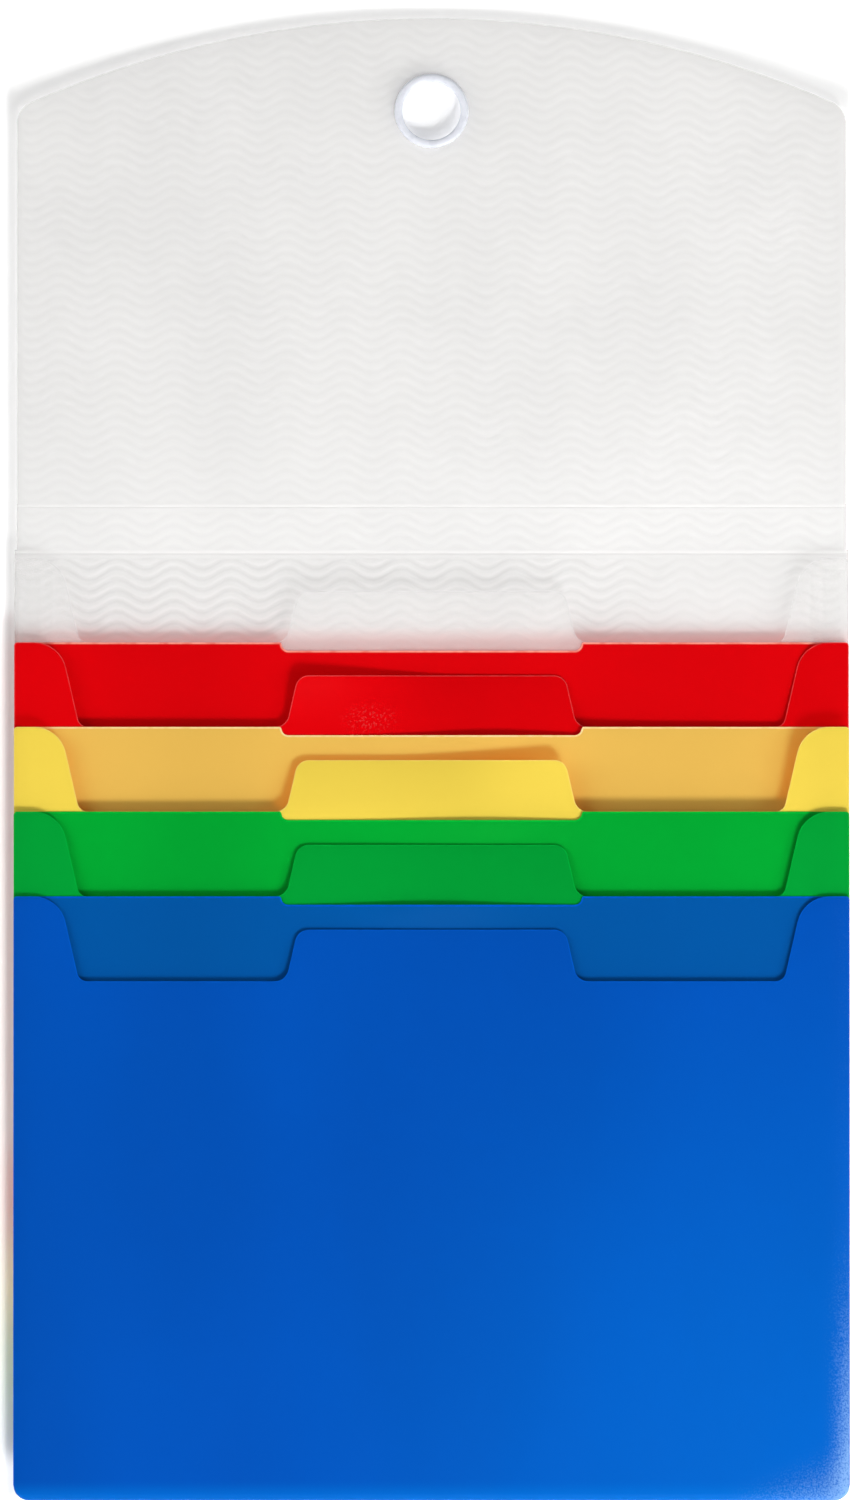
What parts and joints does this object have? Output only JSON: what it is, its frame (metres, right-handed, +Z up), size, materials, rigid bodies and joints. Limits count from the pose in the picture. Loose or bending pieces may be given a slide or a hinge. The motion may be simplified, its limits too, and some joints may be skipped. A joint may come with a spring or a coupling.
{
  "type": "wall file folder",
  "caption": "Hanging wall organiser: an arched flap with an eyelet, folded at two scores, carries stepped see-through pockets with tabbed fronts, pleated sides and folded bottoms.",
  "frame": {"origin": "centre of the hanging eyelet, on the cover's back face", "axes": "+Z up along the folder's height, +Y into the wall, +X to the viewer's right"},
  "size_m": [0.36, 0.0315, 0.639],
  "materials": {
    "clear_sheet": "satin",
    "red_sheet": "satin",
    "yellow_sheet": "satin",
    "green_sheet": "satin",
    "blue_sheet": "satin",
    "eyelet": "smooth white"
  },
  "bodies": {
    "hanger": {"cover_flap": "clear_sheet", "grommet_front": "eyelet", "grommet_back": "eyelet"},
    "spine": {"cover_spine": "clear_sheet"},
    "back": {"cover_back": "clear_sheet", "clear_bottom_fold": "clear_sheet", "clear_gusset_left": "clear_sheet", "clear_gusset_right": "clear_sheet"},
    "clear_front": {"clear_front_panel": "clear_sheet", "red_back_panel": "red_sheet", "red_bottom_fold": "red_sheet", "red_gusset_left": "red_sheet", "red_gusset_right": "red_sheet"},
    "red_front": {"red_front_panel": "red_sheet", "yellow_back_panel": "yellow_sheet", "yellow_bottom_fold": "yellow_sheet", "yellow_gusset_left": "yellow_sheet", "yellow_gusset_right": "yellow_sheet"},
    "yellow_front": {"yellow_front_panel": "yellow_sheet", "green_back_panel": "green_sheet", "green_bottom_fold": "green_sheet", "green_gusset_left": "green_sheet", "green_gusset_right": "green_sheet"},
    "green_front": {"green_front_panel": "green_sheet", "blue_back_panel": "blue_sheet", "blue_bottom_fold": "blue_sheet", "blue_gusset_left": "blue_sheet", "blue_gusset_right": "blue_sheet"},
    "blue_front": {"blue_front_panel": "blue_sheet"}
  },
  "joints": [
    {"name": "flap_score", "type": "hinge", "parent": "hanger", "child": "spine", "pos_m": [0, -0.0003, -0.171], "axis": [1, 0, 0], "range_deg": [-90, 0]},
    {"name": "spine_score", "type": "hinge", "parent": "spine", "child": "back", "pos_m": [0, -0.0003, -0.191], "axis": [1, 0, 0], "range_deg": [-85, 0]},
    {"name": "clear_pocket_open", "type": "hinge", "parent": "back", "child": "clear_front", "pos_m": [0, -0.00585, -0.4497], "axis": [1, 0, 0], "range_deg": [0, 3.5], "stiffness_Nm_per_rad": 1.5, "springref_deg": -5.73, "deforming": ["clear_gusset_left", "clear_gusset_right"]},
    {"name": "red_pocket_open", "type": "hinge", "parent": "clear_front", "child": "red_front", "pos_m": [0, -0.01185, -0.48625], "axis": [1, 0, 0], "range_deg": [0, 3.5], "stiffness_Nm_per_rad": 1.5, "springref_deg": -5.73, "deforming": ["red_gusset_left", "red_gusset_right"]},
    {"name": "yellow_pocket_open", "type": "hinge", "parent": "red_front", "child": "yellow_front", "pos_m": [0, -0.01785, -0.52275], "axis": [1, 0, 0], "range_deg": [0, 3.5], "stiffness_Nm_per_rad": 1.5, "springref_deg": -5.73, "deforming": ["yellow_gusset_left", "yellow_gusset_right"]},
    {"name": "green_pocket_open", "type": "hinge", "parent": "yellow_front", "child": "green_front", "pos_m": [0, -0.02385, -0.55925], "axis": [1, 0, 0], "range_deg": [0, 3.5], "stiffness_Nm_per_rad": 1.5, "springref_deg": -5.73, "deforming": ["green_gusset_left", "green_gusset_right"]},
    {"name": "blue_pocket_open", "type": "hinge", "parent": "green_front", "child": "blue_front", "pos_m": [0, -0.02985, -0.59575], "axis": [1, 0, 0], "range_deg": [0, 3.5], "stiffness_Nm_per_rad": 1.5, "springref_deg": -5.73, "deforming": ["blue_gusset_left", "blue_gusset_right"]}
  ]
}
